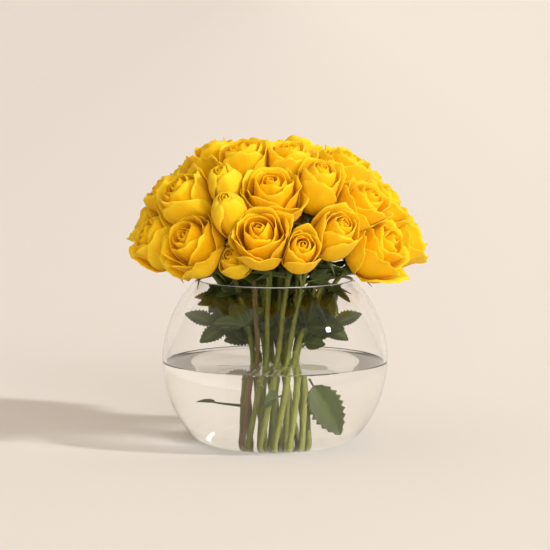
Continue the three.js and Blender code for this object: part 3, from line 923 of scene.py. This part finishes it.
def inside_room(points):
    """True if no point of a part in metres cuts the bowl's wall, the rim or the water."""
    spots = points / MM
    reach = np.hypot(spots[:, 0], spots[:, 1])
    wall = np.sqrt(np.maximum((BOWL_RADIUS - WALL) ** 2 - (spots[:, 2] - BOWL_CENTRE_Z) ** 2, 0))
    below_rim = spots[:, 2] < BOWL_TOP_Z + 3
    return bool(np.all(spots[:, 2] > WATER_Z + 6) and np.all(reach[below_rim] < wall[below_rim] - 3))


def foliage_parts(number):
    """The leaves that grow on one stem above the water and under its rose, kept clear of the bowl."""
    rng = random.Random(5000 + number)
    main = STEMS[number - 1][2]
    front = along(main, 0.6)[1] < FRONT_STEM_Y
    if number > len(OUTER_STEMS):
        plan = FOLIAGE_INNER
    else:
        plan = FOLIAGE_FRONT if front else FOLIAGE_SIDES
    blades, stalks = [], []
    for share, low, high in plan:
        for _ in range(LEAF_TRIES):
            spot = along(main, share)
            azimuth = math.degrees(math.atan2(spot[1], spot[0])) + rng.uniform(-70, 70)
            stand = (number, share, azimuth, rng.uniform(low, high), rng.uniform(-80, 80))
            size = rng.uniform(20, 31)
            made, stalk = leaf_parts(leaf_place(stand), 3, size, 0.4 * size, rng)
            if all(inside_room(part[0]) for part in made):
                blades += made
                stalks.append(stalk)
                break
    return blades, stalks


def leafy_piece(name, blades, stalks):
    """One piece from leaf blades, which get their thickness, and the stalks that carry them."""
    piece = mesh_piece(name, blades)
    apply_modifier(piece, "SOLIDIFY", thickness=0.35 * MM, offset=0)
    stalk_piece = mesh_piece(name + "_stalks", stalks)
    make_active(piece)
    stalk_piece.select_set(True)
    bpy.ops.object.join()
    return piece


# ---------------------------------------------------------------- operators

def spun_piece(name, profile, sides):
    """Spins a profile of (radius, height) in millimetres, that starts and ends on the axis, into a solid."""
    object_mode()
    mesh = bpy.data.meshes.new(name)
    edges = [(i, i + 1) for i in range(len(profile) - 1)]
    mesh.from_pydata([(r * MM, 0, z * MM) for r, z in profile], edges, [])
    piece = bpy.data.objects.new(name, mesh)
    bpy.context.scene.collection.objects.link(piece)
    make_active(piece)
    bpy.ops.object.mode_set(mode="EDIT")
    bpy.ops.mesh.select_all(action="SELECT")
    bpy.ops.mesh.spin(steps=sides, angle=TAU, center=(0, 0, 0), axis=(0, 0, 1))
    bpy.ops.mesh.select_all(action="SELECT")
    bpy.ops.mesh.remove_doubles(threshold=0.02 * MM)
    bpy.ops.mesh.normals_make_consistent(inside=False)
    bpy.ops.object.mode_set(mode="OBJECT")
    return piece


def wall_profile(radius, flat_r, flat_z, top_angle, steps):
    """One face of the bowl from its axis, over the foot's rounding, up the sphere to an angle."""
    blend_z = FOOT_BLEND_Z + flat_z
    start = math.asin((blend_z - BOWL_CENTRE_Z) / radius)
    meet = np.array([radius * math.cos(start), blend_z])
    back = FOOT_BLEND_Z / math.cos(start)
    corner = np.array([meet[0] + back * math.sin(start), flat_z])
    flat = np.array([flat_r, flat_z])
    path = [(0, flat_z), (flat_r * 0.5, flat_z)]
    for t in np.linspace(0, 1, 12):
        path.append(tuple((1 - t) ** 2 * flat + 2 * t * (1 - t) * corner + t * t * meet))
    for i in range(1, steps + 1):
        angle = start + (top_angle - start) * i / steps
        path.append((radius * math.cos(angle), BOWL_CENTRE_Z + radius * math.sin(angle)))
    return path


class ROSES_OT_bowl(Operator):
    """Blow the round glass bowl with its flat foot and fire-polished mouth"""
    bl_idname = "roses.bowl"
    bl_label = "Glass Bowl"

    def execute(self, context):
        settings = context.scene.rose_glass
        radius = settings.radius / MM
        lip_r = WALL / 2
        middle_r = radius - lip_r
        rim = math.asin((BOWL_TOP_Z - lip_r - BOWL_CENTRE_Z) / middle_r)
        outer = wall_profile(radius, FOOT_R, 0, rim, 48)
        inner = wall_profile(radius - WALL, FOOT_R - WALL, FLOOR, rim, 48)
        lip = []
        for i in range(1, 12):
            angle = rim + math.pi * i / 12
            lip.append((middle_r * math.cos(rim) + lip_r * math.cos(angle),
                        BOWL_CENTRE_Z + middle_r * math.sin(rim) + lip_r * math.sin(angle)))
        piece = spun_piece("glass_bowl", outer + lip + inner[::-1], settings.sides)
        glass = clear_material("Clear Glass", settings.tint, GLASS_INDEX, 14.0, 0.0004, GLASS_PASSES)
        finish_piece(piece, "glass_bowl", glass, ["bowl"])
        cut_rim = clear_material("Cut Rim", settings.tint, RIM_INDEX, 60.0, 0.0004, GLASS_PASSES)
        rim_skin = cut_rim.node_tree.nodes["Principled BSDF"]
        rim_skin.inputs["Roughness"].default_value = 0.4
        rim_skin.inputs["Transmission Weight"].default_value = 0.5
        piece.data.materials.append(cut_rim)
        for face in piece.data.polygons:
            if face.center.z > (BOWL_TOP_Z - lip_r) * MM:
                face.material_index = 1
        return {"FINISHED"}


class ROSES_OT_water(Operator):
    """Fill the bowl with water that climbs a little where it meets the glass"""
    bl_idname = "roses.water"
    bl_label = "Water"

    def execute(self, context):
        settings = context.scene.rose_glass
        radius = settings.radius / MM - WALL + WATER_INTO_WALL
        edge = math.asin((WATER_Z + MENISCUS_RISE - BOWL_CENTRE_Z) / radius)
        profile = wall_profile(radius, FOOT_R - WALL + WATER_INTO_WALL, FLOOR - WATER_INTO_WALL, edge, 40)
        edge_r = profile[-1][0]
        for share in np.linspace(0, 1, 10)[1:]:
            profile.append((edge_r - MENISCUS_WIDTH * share, WATER_Z + MENISCUS_RISE * (1 - share) ** 2.6))
        profile += [(edge_r * s, WATER_Z) for s in (0.7, 0.4, 0.2)] + [(0, WATER_Z)]
        piece = spun_piece("water_body", profile, settings.sides)
        water = clear_material("Still Water", settings.water_tint, WATER_INDEX, 30.0, 0.0002, WATER_PASSES)
        finish_piece(piece, "water_body", water, ["water"])
        return {"FINISHED"}


class ROSES_OT_roses(Operator):
    """Model every rose from its own curved petals, pressed against its neighbours"""
    bl_idname = "roses.roses"
    bl_label = "Roses"

    def execute(self, context):
        settings = context.scene.rose_roses
        material = petal_material(settings)
        for number in ROSES:
            name = f"rose_{number:02d}"
            piece = mesh_piece(name, rose_parts(number, settings.cells, settings.ruffle))
            apply_modifier(piece, "SOLIDIFY", thickness=settings.thickness, offset=0)
            finish_piece(piece, name, material, [f"bloom_{number:02d}"])
        return {"FINISHED"}


class ROSES_OT_stems(Operator):
    """Grow the stems with their side branches, thorns and hips"""
    bl_idname = "roses.stems"
    bl_label = "Stems"

    def execute(self, context):
        settings = context.scene.rose_greens
        pale = [min(1, share * c) for share, c in zip((3.3, 3.3, 3.2), settings.stem)]
        material = green_material("Stem Skin", settings.stem, pale, 0.5, 0.05)
        browned = green_material("Browned Stem Skin", BROWNED_DARK, BROWNED_PALE, 0.5, 0.05)
        for plan in STEMS:
            name = f"stem_{plan[0]:02d}_green"
            piece = mesh_piece(name, stem_parts(plan, settings))
            skin = browned if plan[0] == BROWNED_STEM else material
            finish_piece(piece, name, skin, [f"stem_{plan[0]:02d}"])
        return {"FINISHED"}


class ROSES_OT_sepals(Operator):
    """Set five pointed sepals under every rose"""
    bl_idname = "roses.sepals"
    bl_label = "Sepals"

    def execute(self, context):
        settings = context.scene.rose_greens
        pale = [min(1, 2.4 * c) for c in settings.leaf]
        material = green_material("Sepal Skin", settings.leaf, pale, 0.55, 0.15)
        for number, (width, openness, _) in ROSES.items():
            rng = random.Random(3000 + number)
            seat, facing, _ = PLACES[number]
            parts = []
            for i in range(5):
                bend = math.radians(rng.uniform(10, 70)) * (0.4 + openness)
                parts.append(sepal(seat - facing * 1.0, facing, TAU * i / 5 + rng.uniform(-0.2, 0.2),
                                   rng.uniform(0.4, 0.52) * width, rng.uniform(5, 6.5), bend, rng))
            name = f"sepals_{number:02d}"
            piece = mesh_piece(name, parts)
            apply_modifier(piece, "SOLIDIFY", thickness=0.5 * MM, offset=0)
            finish_piece(piece, name, material)
        return {"FINISHED"}


class ROSES_OT_leaves(Operator):
    """Grow the toothed rose leaves on the stems"""
    bl_idname = "roses.leaves"
    bl_label = "Leaves"

    def execute(self, context):
        settings = context.scene.rose_greens
        pale = [min(1, 3.0 * c) for c in settings.leaf]
        material = green_material("Leaf Skin", settings.leaf, pale, 0.45, 0.18, 0.15)
        for i, (name, plan) in enumerate(LEAVES.items()):
            blades, stalk = leaf_parts(leaf_place(plan), *plan[5:], random.Random(4000 + i))
            piece = leafy_piece(name + "_green", blades, [stalk])
            finish_piece(piece, name + "_green", material, [name])
        for number, _, _ in STEMS:
            blades, stalks = foliage_parts(number)
            name = f"foliage_{number:02d}"
            if blades:
                finish_piece(leafy_piece(name, blades, stalks), name, material)
        return {"FINISHED"}


def add_lamp(name, comes_from, strength, spread, colour):
    """A far lamp that shines from a direction, spread over an angle in degrees."""
    lamp = bpy.data.lights.new(name, "SUN")
    lamp.energy = strength
    lamp.angle = math.radians(spread)
    lamp.color = colour
    holder = bpy.data.objects.new(name, lamp)
    holder.rotation_euler = comes_from.to_track_quat("Z", "Y").to_euler()
    bpy.context.scene.collection.objects.link(holder)
    return holder


def room_world(settings):
    """A pale room, darker behind the viewer: it lights softly, and shows in the glass as paper."""
    world = bpy.data.worlds.new("room")
    world.use_nodes = True
    tree = world.node_tree
    soft = tree.nodes["Background"]
    soft.inputs["Color"].default_value = (*ROOM_LIGHT, 1)
    soft.inputs["Strength"].default_value = settings.fill
    place = node(tree, "ShaderNodeTexCoord", (-900, -200))
    split = node(tree, "ShaderNodeSeparateXYZ", (-700, -200))
    tree.links.new(place.outputs["Generated"], split.inputs[0])
    shown = node(tree, "ShaderNodeBackground", (0, -200))
    depth = node(tree, "ShaderNodeMapRange", (-500, -200), in_1=-0.9, in_2=0.1)
    tree.links.new(split.outputs["Y"], depth.inputs[0])
    path = node(tree, "ShaderNodeLightPath", (-700, 300))
    reflected = mix_colour(tree, depth.outputs[0], ROOM_IN_FRONT, ROOM_BEHIND, place=(-300, -200))
    seen = mix_colour(tree, path.outputs["Is Glossy Ray"], ROOM_BEHIND, reflected, place=(-150, -200))
    tree.links.new(seen, shown.inputs["Color"])
    both = node(tree, "ShaderNodeMixShader", (250, 0))
    tree.links.new(path.outputs["Is Diffuse Ray"], both.inputs[0])
    tree.links.new(shown.outputs[0], both.inputs[1])
    tree.links.new(soft.outputs[0], both.inputs[2])
    tree.links.new(both.outputs[0], tree.nodes["World Output"].inputs["Surface"])
    return world


class ROSES_OT_stage(Operator):
    """Set the floor, the lights and the camera"""
    bl_idname = "roses.stage"
    bl_label = "Stage"

    def execute(self, context):
        settings = context.scene.rose_stage
        object_mode()
        bpy.ops.mesh.primitive_plane_add(size=FLOOR_SIZE)
        floor = context.object
        floor.name = "floor"
        floor.data.materials.append(floor_material(settings.floor))
        add_lamp("key_light", KEY_FROM, settings.key, KEY_SPREAD, KEY_COLOUR)
        front = add_lamp("front_fill", FRONT_FROM, settings.front, FRONT_SPREAD, FRONT_COLOUR)
        front.visible_glossy = False
        front.visible_transmission = False
        context.scene.world = room_world(settings)
        lens = bpy.data.cameras.new("camera")
        lens.lens = settings.lens
        lens.sensor_width = 36
        lens.clip_end = 200
        camera = bpy.data.objects.new("camera", lens)
        camera.location = CAMERA_PLACE
        camera.rotation_euler = (math.pi / 2 - CAMERA_TILT_DOWN, 0, 0)
        context.scene.collection.objects.link(camera)
        context.scene.camera = camera
        context.scene.view_settings.view_transform = "Standard"
        return {"FINISHED"}


class ROSES_PT_panel(Panel):
    """Lists the steps that make the roses in their bowl"""
    bl_label = "Roses in a Bowl"
    bl_idname = "ROSES_PT_panel"
    bl_space_type = "VIEW_3D"
    bl_region_type = "UI"
    bl_category = "Roses"

    def draw(self, context):
        for operator in OPERATORS:
            self.layout.operator(operator.bl_idname)


SETTINGS = {
    "rose_glass": GlassSettings,
    "rose_roses": RoseSettings,
    "rose_greens": GreenSettings,
    "rose_stage": StageSettings,
}
OPERATORS = (ROSES_OT_stage, ROSES_OT_bowl, ROSES_OT_water, ROSES_OT_stems, ROSES_OT_sepals,
             ROSES_OT_leaves, ROSES_OT_roses)


def register():
    for cls in (*SETTINGS.values(), *OPERATORS, ROSES_PT_panel):
        bpy.utils.register_class(cls)
    for name, cls in SETTINGS.items():
        setattr(bpy.types.Scene, name, PointerProperty(type=cls))


def unregister():
    for name in SETTINGS:
        delattr(bpy.types.Scene, name)
    for cls in (ROSES_PT_panel, *reversed(OPERATORS), *SETTINGS.values()):
        bpy.utils.unregister_class(cls)


def main():
    register()
    for operator in OPERATORS:
        group, name = operator.bl_idname.split(".")
        getattr(getattr(bpy.ops, group), name)()
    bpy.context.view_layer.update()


if __name__ == "__main__":
    main()
